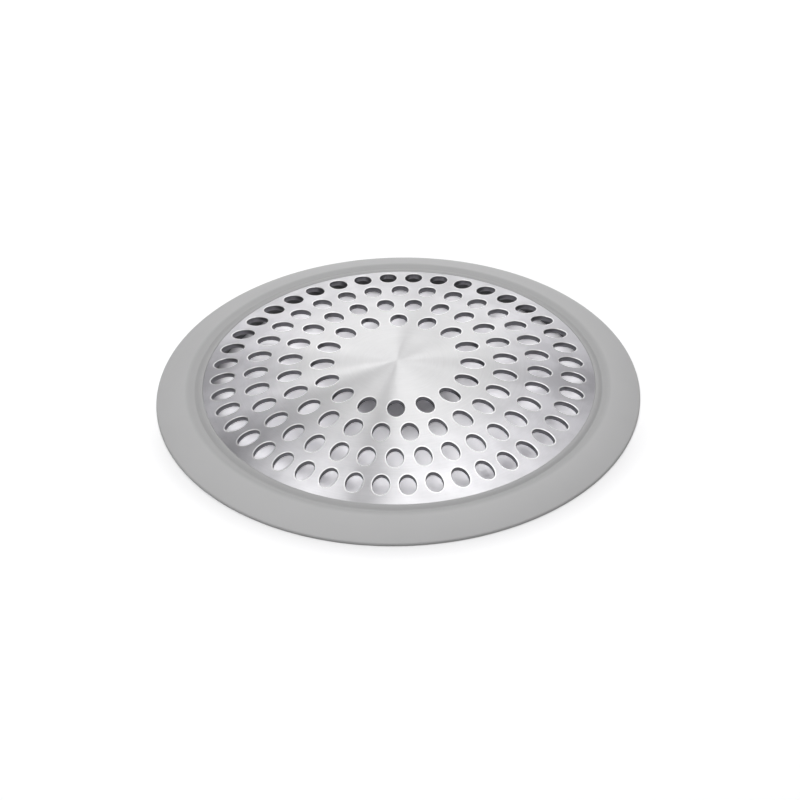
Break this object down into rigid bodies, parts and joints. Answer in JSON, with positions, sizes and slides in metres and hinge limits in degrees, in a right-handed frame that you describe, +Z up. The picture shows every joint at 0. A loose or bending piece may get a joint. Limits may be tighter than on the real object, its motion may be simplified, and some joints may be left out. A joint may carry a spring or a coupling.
{
  "type": "bathtub drain protector",
  "caption": "Low domed drain cover: a perforated brushed steel strainer set in a sloped grey silicone rim that lies flat over a tub drain and catches hair.",
  "frame": {"origin": "on the tub floor, under the middle of the dome", "axes": "+Z up along the dome's axis, -Y towards the camera of the picture, +X to its right"},
  "size_m": [0.1142, 0.1142, 0.0106],
  "materials": {
    "steel": "brushed in circles about the middle",
    "silicone": "matt grey"
  },
  "bodies": {
    "root": {"strainer_dome": "steel", "silicone_rim": "silicone"}
  },
  "joints": []
}
